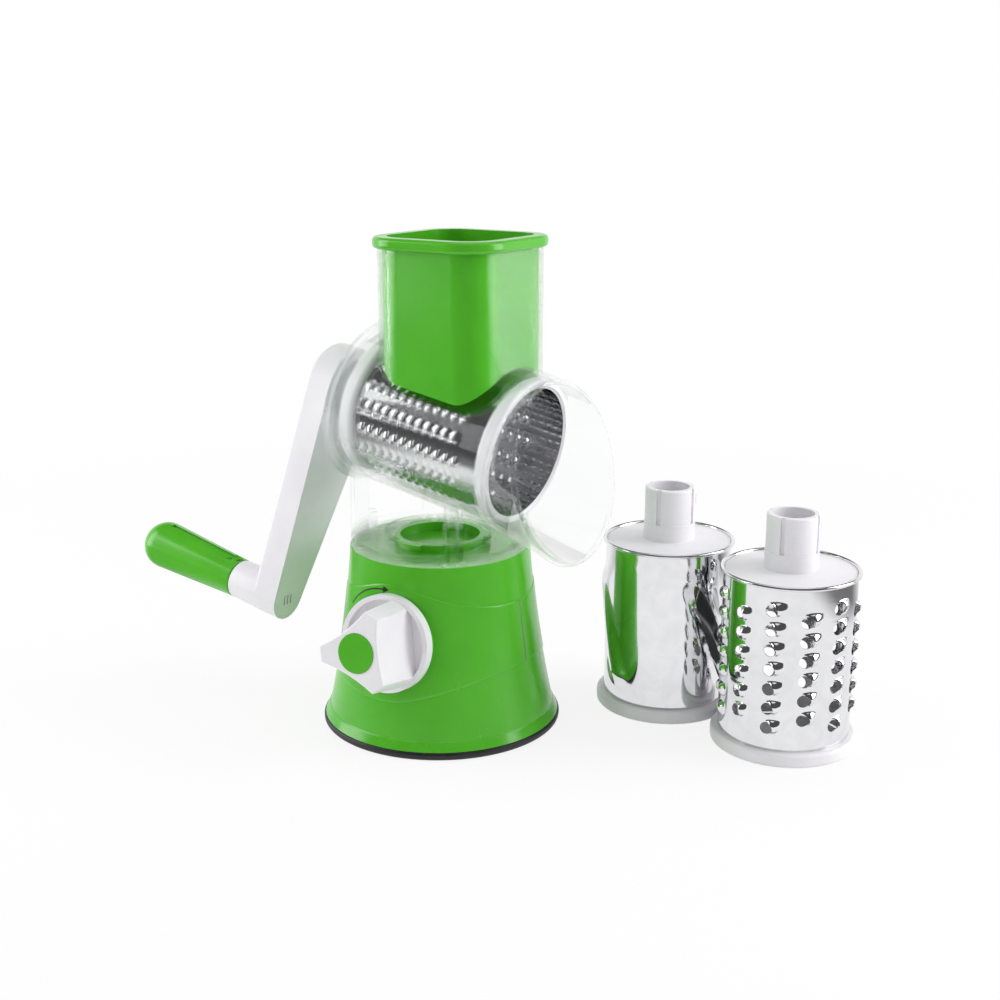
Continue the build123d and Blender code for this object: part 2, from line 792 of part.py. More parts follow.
with BuildPart() as grip_bolt:
    bored(grip_plane, bolt_radius, -bolt_thread_length, grip_end - pocket_depth + end_gap, Mode.ADD)
    turned(
        grip_plane.offset(grip_end - pocket_depth + end_gap),
        [
            (0, 0),
            (bolt_head_radius, 0),
            (bolt_head_radius, bolt_head_height, bolt_radius / 2),
            (0, bolt_head_height),
        ],
    )

with BuildPart() as grip_sleeve:
    turned(
        grip_plane.offset(grip_start),
        [
            (bolt_radius + running_gap, 0),
            (grip_radius, 0, grip_edge_round),
            (grip_end_radius, grip_length),
            (grip_pocket_radius, grip_length),
            (grip_pocket_radius, grip_length - pocket_depth),
            (bolt_radius + running_gap, grip_length - pocket_depth),
        ],
    )
    # Finger grooves that open at the arm's end and stop short of the dome.
    for groove in range(grip_groove_count):
        turn = 360 / grip_groove_count * groove
        with BuildSketch(section(grip_plane.offset(grip_start).rotated((0, 0, turn)))):
            with BuildLine():
                Polyline(
                    (grip_radius - grip_groove_depth, 0),
                    (grip_end_radius - grip_groove_depth, grip_length),
                    (grip_end_radius + grip_groove_depth, grip_length),
                    (grip_radius + grip_groove_depth, 0),
                    close=True,
                )
            make_face()
        extrude(amount=grip_groove_width / 2, both=True, mode=Mode.SUBTRACT)

with BuildPart() as grip_cap:
    turned(
        grip_plane.offset(grip_end),
        [
            (0, -grip_cap_spigot),
            (grip_pocket_radius - seat_gap, -grip_cap_spigot),
            (grip_pocket_radius - seat_gap, 0),
            (grip_end_radius, 0),
            (grip_cap_radius, grip_cap_length, grip_cap_round),
            (0, grip_cap_length),
        ],
    )

# ==== Files ========================================================================================
pieces = {
    "base_shell": base_shell,
    "suction_pad": suction_pad,
    "guide_plate": guide_plate,
    "plate_screws": plate_screws,
    "pull_stud": pull_stud,
    "cam_shaft": cam_shaft,
    "knob": knob,
    "knob_dot": knob_dot,
    "knob_screw": knob_screw,
    "clear_housing": clear_housing,
    "pusher": pusher,
    "crank_arm": crank_arm,
    "arm_cover": arm_cover,
    "grip_bolt": grip_bolt,
    "grip_sleeve": grip_sleeve,
    "grip_cap": grip_cap,
    "fine_drum_sheet": fine_drum_sheet,
    "fine_drum_ring": fine_drum_ring,
    "fine_drum_hub": fine_drum_hub,
    "coarse_drum_sheet": coarse_drum_sheet,
    "coarse_drum_ring": coarse_drum_ring,
    "coarse_drum_hub": coarse_drum_hub,
    "slicer_drum_sheet": slicer_drum_sheet,
    "slicer_drum_ring": slicer_drum_ring,
    "slicer_drum_hub": slicer_drum_hub,
}
os.makedirs("parts", exist_ok=True)
for name, piece in pieces.items():
    piece.part.label = name
    export_step(piece.part, f"parts/{name}.step")
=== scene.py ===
import json
from math import atan2, cos, hypot, log, pi, radians, sin, tan

import bpy
from mathutils import Matrix, Vector


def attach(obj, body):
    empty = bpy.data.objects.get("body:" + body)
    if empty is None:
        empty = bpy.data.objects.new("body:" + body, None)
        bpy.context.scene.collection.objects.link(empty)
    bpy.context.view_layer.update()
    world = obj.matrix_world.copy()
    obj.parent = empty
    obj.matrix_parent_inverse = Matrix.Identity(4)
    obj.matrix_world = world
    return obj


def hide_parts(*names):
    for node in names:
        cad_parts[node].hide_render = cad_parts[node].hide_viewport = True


# A hand-cranked drum shredder on a suction base, with two spare drums standing beside it.
# The solids give every size. Here they get their finishes, the three steel drums get their teeth,
# holes and blades, and the base gets its wavy step and its arrow.
# Metres, +Z up, +X towards the outlet, the knob on the -Y side.

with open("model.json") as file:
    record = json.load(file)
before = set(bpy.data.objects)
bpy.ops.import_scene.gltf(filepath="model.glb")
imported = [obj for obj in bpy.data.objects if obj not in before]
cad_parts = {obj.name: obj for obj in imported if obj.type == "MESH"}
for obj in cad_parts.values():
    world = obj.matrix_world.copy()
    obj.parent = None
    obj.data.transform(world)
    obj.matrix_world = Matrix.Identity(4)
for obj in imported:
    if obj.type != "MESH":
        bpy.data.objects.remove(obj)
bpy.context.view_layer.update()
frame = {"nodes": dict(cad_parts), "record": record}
mm = 0.001

# ---- Sizes of the solids --------------------------------------------------------------------------
deck_height = 98.8 * mm  # top of the base, where the housing's foot stands
wall_middle = 57.0 * mm
base_rings = ((deck_height, 48.4 * mm), (wall_middle, 52.8 * mm), (9.4 * mm, 61.3 * mm))
drum_radius = 34.5 * mm
drum_length = 95 * mm
sheet_wall = 0.5 * mm
sheet_end = 94 * mm  # far edge of all three sheets, measured from the back disc's face
fine_start = 1 * mm  # near edge of the mounted sheet; those of the spare sheets are at 0
axis_height = 165.2 * mm
axis_tilt = radians(10.2)
disc_back = 38 * mm  # from the middle of the base back to the mounted drum's disc
coarse_spot = (172.4 * mm, 70.9 * mm)
slicer_spot = (94.5 * mm, 85.2 * mm)

backdrop_side = (-0.55, 0.835, 0)  # the way from the set to the white backdrop


# ---- Small helpers --------------------------------------------------------------------------------
def colour(hex_value):
    """An sRGB hex colour as linear light."""
    parts = [int(hex_value[i : i + 2], 16) / 255 for i in (1, 3, 5)]
    return [p / 12.92 if p <= 0.04045 else ((p + 0.055) / 1.055) ** 2.4 for p in parts] + [1.0]


def node(tree, kind, values=(), links=(), **settings):
    """Adds a node, sets it and its inputs, and links what feeds it."""
    made = tree.nodes.new(kind)
    for key, value in settings.items():
        setattr(made, key, value)
    for key, value in dict(values).items():
        made.inputs[key].default_value = value
    for key, source in dict(links).items():
        tree.links.new(source, made.inputs[key])
    return made


def ramp(tree, source, stops):
    """A colour ramp through (position, colour) stops."""
    made = node(tree, "ShaderNodeValToRGB", links={0: source})
    while len(made.color_ramp.elements) < len(stops):
        made.color_ramp.elements.new(0.5)
    for element, (place, shade) in zip(made.color_ramp.elements, stops):
        element.position = place
        element.color = shade
    return made.outputs[0]


def noise(tree, place, size, detail, **more):
    """Cloudy noise with patches of a given size."""
    values = {"Scale": 1 / size, "Detail": detail, **more}
    return node(tree, "ShaderNodeTexNoise", values, {"Vector": place}).outputs["Fac"]


def span(tree, source, low, high, first, last):
    """A value that runs from first to last while its source runs from low to high."""
    values = {"From Min": low, "From Max": high, "To Min": first, "To Max": last}
    return node(tree, "ShaderNodeMapRange", values, {"Value": source}).outputs[0]


def stretched(tree, place, scale):
    """Coordinates scaled per axis; a scale under 1 draws a pattern out along that axis."""
    return node(tree, "ShaderNodeMapping", {"Scale": scale}, {"Vector": place}).outputs[0]


def relief(tree, height, strength, depth, under=None):
    """A bump, laid over another one where one is given."""
    links = {"Height": height} if under is None else {"Height": height, "Normal": under}
    values = {"Strength": strength, "Distance": depth}
    return node(tree, "ShaderNodeBump", values, links).outputs[0]


def combine(tree, operation, first, second):
    """A Math node on two values."""
    links = {0: first, 1: second}
    return node(tree, "ShaderNodeMath", links=links, operation=operation).outputs[0]


def measure(tree, operation, source, other=(0, 0, 0)):
    """The one value that a Vector Math node gives."""
    made = node(tree, "ShaderNodeVectorMath", {1: other}, {0: source}, operation=operation)
    return made.outputs["Value"]


def start(name):
    """An empty material with its Principled shader, output and object coordinates."""
    made = bpy.data.materials.new(name)
    made.use_nodes = True
    tree = made.node_tree
    tree.nodes.clear()
    shader = node(tree, "ShaderNodeBsdfPrincipled")
    node(tree, "ShaderNodeOutputMaterial", links={"Surface": shader.outputs[0]})
    place = node(tree, "ShaderNodeTexCoord").outputs["Object"]
    return made, tree, shader, place


# ---- Materials ------------------------------------------------------------------------------------
def moulded_abs(name, deep, main, light, rough_low, rough_high, peel):
    """Injection-moulded ABS: an even body colour, a gloss broken by fine orange peel, by the broad
    flow of the melt and by faint rub marks."""
    made, tree, shader, place = start(name)
    # Melt flow: clouds about 30 mm across, a few percent lighter and darker.
    flow = noise(tree, place, 30 * mm, 3.0)
    tint = ramp(tree, flow, [(0.25, deep), (0.5, main), (0.78, light)])
    # Pigment specks under half a millimetre, drawn at 0.5 mm so that they show.
    speck = noise(tree, place, 0.5 * mm, 2.0)
    speck_shade = span(tree, speck, 0.35, 0.75, 0.97, 1.03)
    colour_a, colour_b, colour_result = 6, 7, 2  # the Mix node's colour sockets
    body = node(
        tree,
        "ShaderNodeMix",
        {"Factor": 1.0},
        {colour_a: tint, colour_b: speck_shade},
        data_type="RGBA",
        blend_type="MULTIPLY",
    )
    tree.links.new(body.outputs[colour_result], shader.inputs["Base Color"])
    # Rub marks: upright streaks, 9 mm wide and 36 mm long, that dull the gloss here and there.
    rub = noise(tree, stretched(tree, place, (1.0, 1.0, 0.25)), 9 * mm, 5.0, Roughness=0.6)
    gloss = span(tree, rub, 0.35, 0.7, rough_low, rough_high)
    tree.links.new(gloss, shader.inputs["Roughness"])
    # Orange peel of the polished mould, waves of 1.6 mm, and a finer grain of 0.35 mm.
    peel_wave = noise(tree, place, 1.6 * mm, 1.0)
    grain = noise(tree, place, 0.35 * mm, 1.0)
    wave = relief(tree, peel_wave, peel, 0.05 * mm)
    fine = relief(tree, grain, peel * 0.5, 0.02 * mm, under=wave)
    tree.links.new(fine, shader.inputs["Normal"])
    shader.inputs["IOR"].default_value = 1.53
    return made


def clear_san():
    """Styrene-acrylonitrile moulded clear: water clear with a faint green tint in its depth, a hard
    gloss, and slow waves of the moulding that bend what stands behind it."""
    made, tree, shader, place = start("clear_san")
    shader.inputs["Transmission Weight"].default_value = 1.0
    shader.inputs["IOR"].default_value = 1.22
    # Most of the light runs straight through, as in a wall this thin, so edges stay pale.
    shader.inputs["Alpha"].default_value = 0.3
    depth = noise(tree, place, 40 * mm, 2.0)
    tint = ramp(tree, depth, [(0.3, colour("#F4FBF7")), (0.7, colour("#FBFEFC"))])
    tree.links.new(tint, shader.inputs["Base Color"])
    # Fine wiping haze, patches of 12 mm.
    haze = noise(tree, place, 12 * mm, 6.0)
    gloss = span(tree, haze, 0.4, 0.75, 0.015, 0.06)
    tree.links.new(gloss, shader.inputs["Roughness"])
    # Moulding waves about 14 mm long.
    wave = noise(tree, place, 14 * mm, 1.0)
    tree.links.new(relief(tree, wave, 0.12, 0.2 * mm), shader.inputs["Normal"])
    # What lights the pieces inside passes straight through, only a little weaker.
    ray = node(tree, "ShaderNodeLightPath")
    lighting = combine(tree, "MAXIMUM", ray.outputs["Is Shadow Ray"], ray.outputs["Is Diffuse Ray"])
    straight = node(tree, "ShaderNodeBsdfTransparent", {"Color": colour("#FDFFFE")})
    mixed = node(
        tree,
        "ShaderNodeMixShader",
        links={0: lighting, 1: shader.outputs[0], 2: straight.outputs[0]},
    )
    end = next(item for item in tree.nodes if item.type == "OUTPUT_MATERIAL")
    tree.links.new(mixed.outputs[0], end.inputs["Surface"])
    return made


def black_rubber():
    """Moulded black rubber: a soft sheen, a fine pebble of 0.6 mm, and patches of pale dust."""
    made, tree, shader, place = start("black_rubber")
    dust = noise(tree, place, 6 * mm, 6.0)
    body = ramp(tree, dust, [(0.4, colour("#131315")), (0.75, colour("#252529"))])
    tree.links.new(body, shader.inputs["Base Color"])
    tree.links.new(span(tree, dust, 0.3, 0.7, 0.42, 0.6), shader.inputs["Roughness"])
    pebble = node(tree, "ShaderNodeTexVoronoi", {"Scale": 1 / (0.6 * mm)}, {"Vector": place})
    pebbled = relief(tree, pebble.outputs["Distance"], 0.2, 0.05 * mm)
    tree.links.new(pebbled, shader.inputs["Normal"])
    shader.inputs["IOR"].default_value = 1.52
    return made


def polished_steel(name, rough_low, rough_high, light, dark):
    """Bright steel, slightly blue grey, with hairlines from the polishing and faint wiping marks
    that soften the mirror; the rougher of the two is the zinc plating of the screws."""
    made, tree, shader, place = start(name)
    shader.inputs["Metallic"].default_value = 1.0
    wipe = noise(tree, place, 11 * mm, 5.0, Distortion=0.8)
    tone = ramp(tree, wipe, [(0.35, dark), (0.65, light)])
    tree.links.new(tone, shader.inputs["Base Color"])
    tree.links.new(span(tree, wipe, 0.3, 0.72, rough_low, rough_high), shader.inputs["Roughness"])
    # Level hairlines, 0.25 mm apart; the real ones are finer than a pixel.
    hair = noise(tree, stretched(tree, place, (0.03, 0.03, 1.0)), 0.25 * mm, 2.0)
    tree.links.new(relief(tree, hair, 0.06, 0.02 * mm), shader.inputs["Normal"])
    return made


def black_print_and_shade_fill():
    """Pad-printed black ink: thin, satin, a little uneven where the pad lifted. The same black also
    fills the arm's three recessed marks as painted shade.
    """
    made, tree, shader, place = start("black_print_and_painted_shade")
    cover = noise(tree, place, 0.8 * mm, 4.0)
    tone = ramp(tree, cover, [(0.3, colour("#10160E")), (0.8, colour("#1F2A1A"))])
    tree.links.new(tone, shader.inputs["Base Color"])
    tree.links.new(span(tree, cover, 0.3, 0.7, 0.35, 0.5), shader.inputs["Roughness"])
    return made


green_abs = moulded_abs(
    "green_abs", colour("#4CAE1E"), colour("#50B421"), colour("#54B925"), 0.18, 0.28, 0.25
)
white_abs = moulded_abs(
    "white_abs", colour("#E6E4E8"), colour("#ECEAEE"), colour("#F1F0F3"), 0.3, 0.44, 0.3
)
# Natural acetal of the hidden lift: slightly waxy, warm grey white.
acetal = moulded_abs(
    "natural_acetal", colour("#CFCBC0"), colour("#D6D2C8"), colour("#DDD9CF"), 0.4, 0.55, 0.3
)
clear = clear_san()
rubber = black_rubber()
mirror_steel = polished_steel("mirror_steel", 0.05, 0.1, colour("#EAEAEC"), colour("#E2E2E5"))
zinc_steel = polished_steel("zinc_plated_steel", 0.25, 0.4, colour("#BFC1C6"), colour("#A9ABB2"))
# Black print for the arrow; the same black stands in for the shade inside the arm's recessed marks.
print_and_shade_black = black_print_and_shade_fill()

finishes = {
    "green_plastic": green_abs,
    "white_plastic": white_abs,
    "clear_plastic": clear,
    "black_rubber": rubber,
    "inner_plastic": acetal,
    "screw_steel": zinc_steel,
    "mirror_steel": mirror_steel,
}
for part in frame["record"]["subparts"]:
    solid = frame["nodes"][part["node"]]
    solid.data.materials.clear()
    solid.data.materials.append(finishes[part["material_slot"]])


# ---- Working on pieces ----------------------------------------------------------------------------
def alone(piece):
    """Selects one piece and makes it active."""
    bpy.ops.object.select_all(action="DESELECT")
    piece.select_set(True)
    bpy.context.view_layer.objects.active = piece


def apply_all(piece):
    """Applies the piece's modifiers in their order."""
    alone(piece)
    for modifier in list(piece.modifiers):
        bpy.ops.object.modifier_apply(modifier=modifier.name)


def thicken(piece, thickness):
    """Gives a sheet its thickness, inwards from the face it has."""
    wall = piece.modifiers.new("wall", "SOLIDIFY")
    wall.thickness = thickness
    wall.offset = -1
    apply_all(piece)


def face_outwards(piece, merge_within):
    """Merges points that lie together and turns all faces outwards."""
    alone(piece)
    bpy.ops.object.mode_set(mode="EDIT")
    bpy.ops.mesh.select_all(action="SELECT")
    bpy.ops.mesh.remove_doubles(threshold=merge_within)
    bpy.ops.mesh.normals_make_consistent(inside=False)
    bpy.ops.object.mode_set(mode="OBJECT")


def finish(piece, material, body):
    """Turns the faces outwards, smooths them, and gives the piece its finish and its body."""
    face_outwards(piece, 0.002 * mm)
    bpy.ops.object.shade_smooth_by_angle(angle=radians(35))
    piece.data.materials.clear()
    piece.data.materials.append(material)
    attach(piece, body)


# Frame of the mounted drum: X up, Y towards the knob, Z along the drum from its back disc.
mounted = Matrix(
    (
        (sin(axis_tilt), 0, cos(axis_tilt), -disc_back * cos(axis_tilt)),
        (0, -1, 0, 0),
        (cos(axis_tilt), 0, -sin(axis_tilt), axis_height + disc_back * sin(axis_tilt)),
        (0, 0, 0, 1),
    )
)

# ---- Clear housing --------------------------------------------------------------------------------
# The housing's own shape, with its foot a hair above the base's deck: two faces in one plane would
# turn black through the clear plastic.
foot_gap = 0.2 * mm
housing = bpy.data.objects.new("clear_chamber", frame["nodes"]["clear_housing"].data.copy())
bpy.context.scene.collection.objects.link(housing)
for corner in housing.data.vertices:
    if abs(corner.co.z - deck_height) < 0.01 * mm:
        corner.co.z += foot_gap
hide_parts("clear_housing")
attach(housing, "base")


# ---- Relief and print on the base and the arm -----------------------------------------------------
def shell_radius(height):
    """Radius of the base's wall at a height, from a curve through its three measured rings."""
    total = 0.0
    for i, (level, radius) in enumerate(base_rings):
        for j, (other, _) in enumerate(base_rings):
            if i != j:
                radius *= (height - other) / (level - other)
        total += radius
    return total


def line_at(points, place):
    """A smooth line through points, read at a place along it."""
    place = min(max(place, points[0][0]), points[-1][0])
    i = max(k for k in range(len(points) - 1) if points[k][0] <= place)
    (x0, y0), (x1, y1) = points[i], points[i + 1]
    before = points[i - 1] if i else points[i]
    after = points[i + 2] if i + 2 < len(points) else points[i + 1]
    lean0 = (y1 - before[1]) / (x1 - before[0]) * (x1 - x0)
    lean1 = (after[1] - y0) / (after[0] - x0) * (x1 - x0)
    t = (place - x0) / (x1 - x0)
    start_share, end_share = 2 * t**3 - 3 * t**2 + 1, 3 * t**2 - 2 * t**3
    leaning = (t**3 - 2 * t**2 + t) * lean0 + (t**3 - t**2) * lean1
    return start_share * y0 + end_share * y1 + leaning


def flat_grid(name, columns, rows):
    """A unit square of faces, cornered at the origin."""
    bpy.ops.object.select_all(action="DESELECT")
    bpy.ops.mesh.primitive_grid_add(x_subdivisions=columns, y_subdivisions=rows, size=1)
    made = bpy.context.object
    made.name = name
    made.data.transform(Matrix.Translation((0.5, 0.5, 0)))
    return made


# Between two wavy lines round the base the wall stands half a millimetre prouder, with soft edges.
wave_step = 0.5 * mm
# Points of the two lines: mm along X, mm high.
crest = ((-66, 71), (-16, 84.5), (1.2, 88.6), (20, 85.2), (36, 79.7), (66, 71.5))
trough = ((-66, 36), (-21.5, 28.6), (-4.4, 27.1), (14, 27.8), (41, 36.2), (66, 47))
# Rows of points that round off each edge: mm in from the line, share of the step.
edge_rows = ((0.0, -0.4), (0.25, 0.55), (0.6, 0.9), (1.1, 1.0))
band_columns = 288
band_rows = 24
settling_rounds = 5  # the lines give height for a place along X, which moves with the height
band = flat_grid("wavy_band", band_columns, band_rows + 2 * len(edge_rows) - 2)
# Each row's place: mm from its line, share of the way from the lower line up, share of the step.
rows = [(inset, 0.0, lift) for inset, lift in edge_rows]
rows += [(0.0, (k + 1) / band_rows, 1.0) for k in range(band_rows - 1)]
rows += [(-inset, 1.0, lift) for inset, lift in reversed(edge_rows)]
for corner in band.data.vertices:
    angle = 2 * pi * corner.co.x
    inset, share, lift = rows[round(corner.co.y * (len(rows) - 1))]
    height = wall_middle
    for _ in range(settling_rounds):
        across = shell_radius(height) * cos(angle) / mm
        low_line, high_line = line_at(trough, across), line_at(crest, across)
        height = (low_line + (high_line - low_line) * share + inset) * mm
    reach = shell_radius(height) + wave_step * lift
    corner.co = (reach * cos(angle), reach * sin(angle), height)
thicken(band, 0.6 * mm)
finish(band, green_abs, "base")

# A printed arrow over the knob shows which way it turns to lock.
# Points of its line: degrees round the base, mm high.
arrow_line = ((-119.1, 72.0), (-114.6, 76.4), (-106.4, 81.6), (-97.5, 84.7), (-86.5, 85.7))
stroke_half = 0.42  # mm, half the width of its stroke
head_half = 1.9  # mm, half the width of its head
head_start = 0.875  # share of its length at which the head begins
ink_lift = 0.06 * mm
arrow = flat_grid("turn_arrow", 60, 4)
for corner in arrow.data.vertices:
    share = corner.co.x
    turn = arrow_line[0][0] + (arrow_line[-1][0] - arrow_line[0][0]) * share
    half = stroke_half
    if share >= head_start:
        half = head_half * (1 - (share - head_start) / (1 - head_start))
    height = (line_at(arrow_line, turn) + 2 * (corner.co.y - 0.5) * half) * mm
    reach = shell_radius(height) + wave_step + ink_lift
    corner.co = (reach * cos(radians(turn)), reach * sin(radians(turn)), height)
thicken(arrow, 0.1 * mm)
finish(arrow, print_and_shade_black, "base")

# Three slanted marks at the arm's lower end: recesses whose floors get a black fill as painted shade.
mark_half_width = 0.44 * mm
mark_half_line = 2.5 * mm  # from the middle to where the round end begins
mark_x, mark_y, mark_z = -115.26, 38.12, -20.22  # mm, of the middle mark in the drum's frame
mark_pitch = 2.6  # mm
for number in range(3):
    bpy.ops.object.select_all(action="DESELECT")
    bpy.ops.mesh.primitive_circle_add(vertices=16, radius=mark_half_width, fill_type="NGON")
    mark = bpy.context.object
    mark.name = f"arm_mark_painted_shade_{number}"
    for corner in mark.data.vertices:
        corner.co.x += mark_half_line if corner.co.x > 0 else -mark_half_line
    alone(mark)
    bpy.ops.object.mode_set(mode="EDIT")
    bpy.ops.mesh.select_all(action="SELECT")
    bpy.ops.mesh.extrude_region_move(TRANSFORM_OT_translate={"value": (0, 0, 0.12 * mm)})
    bpy.ops.object.mode_set(mode="OBJECT")
    place = (mark_x * mm, (mark_y + mark_pitch * (number - 1)) * mm, mark_z * mm)
    mark.data.transform(mounted @ Matrix.Translation(place))
    # Painted shade: the print black laid on the recess floor where shade falls.
    finish(mark, print_and_shade_black, "crank")

# ---- Drum sheets ----------------------------------------------------------------------------------
# Each sheet is made flat from one punched tile, with X round the drum and Y along it from the back
# disc, then rolled up.
around = 2 * pi * drum_radius
meeting = 0.02 * mm  # points nearer than this are one point


def smooth_step(value):
    """Runs from 0 to 1 with soft ends."""
    value = min(max(value, 0.0), 1.0)
    return value * value * (3 - 2 * value)


def punched_tile(name, width, height, side_points, hole, loops, rise):
    """One tile of sheet round a punched hole: a ring of edges as the hole, drawn out loop by loop to
    the tile's square border, and raised as the punch raises it. The hole's middle is at the origin."""
    growth = 1.5  # of each loop over the last, only to tell the loops apart until they are placed
    closeness = 1.4  # over 1, so loops stand closer together near the hole
    bpy.ops.object.select_all(action="DESELECT")
    bpy.ops.mesh.primitive_circle_add(vertices=4 * side_points, radius=1, fill_type="NOTHING")
    tile = bpy.context.object
    tile.name = name
    bpy.ops.object.mode_set(mode="EDIT")
    for _ in range(loops):
        bpy.ops.mesh.extrude_edges_indiv()
        bpy.ops.transform.resize(value=(growth, growth, growth))
    bpy.ops.object.mode_set(mode="OBJECT")
    for corner in tile.data.vertices:
        loop = round(log(max(hypot(corner.co.x, corner.co.y), 1)) / log(growth))
        turn = atan2(corner.co.y, corner.co.x)
        # The border's points stand evenly along each side, so that neighbouring tiles meet.
        sides_passed = (turn / (pi / 2) + 4.5) % 4
        side, along = int(sides_passed), (sides_passed % 1) - 0.5
        border = Matrix.Rotation(side * pi / 2, 2) @ Vector((0.5, along))
        border = Vector((border.x * width, border.y * height))
        share = (loop / loops) ** closeness
        inner = Vector((hole[0] * cos(turn), hole[1] * sin(turn)))
        place = inner.lerp(border, share)
        corner.co = (place.x, place.y, rise(place.x, place.y))
    return tile


def repeat(piece, step, count):
    """Repeats the piece and merges the copies where they meet."""
    array = piece.modifiers.new("repeat", "ARRAY")
    array.use_relative_offset = False
    array.use_constant_offset = True
    array.constant_offset_displace = step
    array.count = count
    array.use_merge_vertices = True
    array.merge_threshold = meeting
    apply_all(piece)


def draw_out(piece, level, by, times=1):
    """Extrudes the border that lies along one level of Y."""
    alone(piece)
    bpy.ops.object.mode_set(mode="EDIT")
    bpy.ops.mesh.select_mode(type="EDGE")
    bpy.ops.mesh.select_all(action="DESELECT")
    bpy.ops.object.mode_set(mode="OBJECT")
    corners = piece.data.vertices
    for edge in piece.data.edges:
        edge.select = all(abs(corners[i].co.y - level) < meeting for i in edge.vertices)
    bpy.ops.object.mode_set(mode="EDIT")
    for _ in range(times):
        bpy.ops.mesh.extrude_region_move(TRANSFORM_OT_translate={"value": (0, by / times, 0)})
    bpy.ops.object.mode_set(mode="OBJECT")


def roll(piece, place, turn=0.0, slant=0.0):
    """Rolls the flat sheet into the drum, closes its seam, gives it its thickness and sets it in
    place."""
    for corner in piece.data.vertices:
        x, y, z = corner.co
        angle = turn + x / drum_radius + slant * (y - drum_length / 2)
        reach = drum_radius + z
        corner.co = (reach * cos(angle), reach * sin(angle), y)
    face_outwards(piece, meeting)
    thicken(piece, sheet_wall)
    piece.data.transform(place)
    alone(piece)
    bpy.ops.object.shade_smooth_by_angle(angle=radians(42))
    piece.data.materials.clear()
    piece.data.materials.append(mirror_steel)


def punched_drum(name, columns, pitch, counts, first, side_points, hole, loops, rise):
    """A flat sheet with two kinds of column, the second shifted by half a pitch, repeated all
    round. Returns it with the levels of its lower and upper border."""
    gap = around / columns
    bottom = first - pitch / 2
    top = first + max(counts[0] - 0.5, counts[1]) * pitch
    strips = []
    for odd in (0, 1):
        strip = punched_tile(name, gap, pitch, side_points, hole, loops, rise)
        repeat(strip, (0, pitch, 0), counts[odd])
        strip.data.transform(Matrix.Translation((odd * gap, first + odd * pitch / 2, 0)))
        low = first + (odd - 1) * pitch / 2
        high = low + counts[odd] * pitch
        for level, limit in ((low, bottom), (high, top)):
            missing = limit - level
            if abs(missing) > 0.1 * mm:
                draw_out(strip, level, missing, round(abs(missing) / pitch * side_points))
        strips.append(strip)
    bpy.ops.object.select_all(action="DESELECT")
    for strip in strips:
        strip.select_set(True)
    bpy.context.view_layer.objects.active = strips[0]
    bpy.ops.object.join()
    sheet = bpy.context.object
    repeat(sheet, (2 * gap, 0, 0), columns // 2)
    return sheet, bottom, top


# Fine drum: 18 rows of 12 small hooded teeth.
tooth_height = 1.3 * mm
tooth_tail = 5.0 * mm
tooth_front = 2.0 * mm
tooth_half = 2.2 * mm
tooth_tip_half = 0.2 * mm


def fine_rise(x, y):
    """A teardrop swelling, highest at the lip of its hole and running out to a tail."""
    if x < -tooth_tail or x > tooth_front:
        return 0.0
    half = tooth_half * (1 - smooth_step((-x - 0.5 * mm) / tooth_tail)) + tooth_tip_half
    across = abs(y) / half
    if across >= 1:
        return 0.0
    if x < 0:
        swell = smooth_step((x + tooth_tail) / tooth_tail)
    else:
        swell = 1 - smooth_step(x / (1.6 * mm))
    return tooth_height * swell * (1 - across**2) ** 0.8


fine, low, high = punched_drum(
    "fine_toothed_sheet",
    columns=18,
    pitch=5.4 * mm,
    counts=(12, 12),
    first=11.2 * mm,
    side_points=6,
    hole=(1.3 * mm, 1.05 * mm),
    loops=6,
    rise=fine_rise,
)
draw_out(fine, low, fine_start - low)
draw_out(fine, high, sheet_end - high)
roll(fine, mounted)
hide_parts("fine_drum_sheet")
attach(fine, "crank")

# Coarse drum: 12 columns of 7 or 6 round holes, each with an ear-shaped raised lip.
ear_turn = radians(20)  # how far each ear leans out of the drum's round
ear_height = 2.3 * mm
ear_half = 3.9 * mm
ear_start = 0.5 * mm  # from the hole's middle
ear_end = 8.4 * mm


def coarse_rise(x, y):
    """A hood over one side of the hole: steep at its lip, running out to a rounded tip."""
    along = -(x * cos(ear_turn) + y * sin(ear_turn))
    across = -x * sin(ear_turn) + y * cos(ear_turn)
    if along < ear_start or along > ear_end:
        return 0.0
    half = ear_half * (1 - ((along - ear_start) / (8 * mm)) ** 2) ** 0.5
    if abs(across) >= half:
        return 0.0
    lip = smooth_step((along - ear_start) / (2.6 * mm))
    fall = 1 - smooth_step((along - 3.4 * mm) / (5.0 * mm))
    return ear_height * lip * fall * (1 - (across / half) ** 2) ** 0.75


def upended(spot):
    """Frame of a spare drum that stands on its ring, with its back disc on top."""
    return Matrix.Translation((*spot, drum_length)) @ Matrix.Rotation(pi, 4, "X")


coarse_place = upended(coarse_spot)
coarse, low, high = punched_drum(
    "coarse_holed_sheet",
    columns=12,
    pitch=10.5 * mm,
    counts=(7, 6),
    first=12.4 * mm,
    side_points=10,
    hole=(3.3 * mm, 3.3 * mm),
    loops=10,
    rise=coarse_rise,
)
draw_out(coarse, low, -low)
draw_out(coarse, high, sheet_end - high)
roll(coarse, coarse_place, turn=radians(22))
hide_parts("coarse_drum_sheet")
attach(coarse, "coarse_drum")

# Slicing drum: three long slanted slots, each with one edge drawn out into a blade.
slot_half = 4.5 * mm
slot_half_length = 30 * mm
slot_slant = radians(22)
blade_height = 2.1 * mm
dip_depth = 0.8 * mm
plain_edge = 4 * mm  # of sheet below and above the slots' tiles
tile_length = 86 * mm


def slicer_rise(x, y):
    """The blade stands proud on one side of the slot, and the other side dips under it."""
    end = 1 - smooth_step((abs(y) - 24 * mm) / (9 * mm))
    if x < 0:
        return blade_height * end * (1 - smooth_step((-x - slot_half) / (9 * mm)))
    return -dip_depth * end * (1 - smooth_step((x - slot_half) / (5 * mm)))


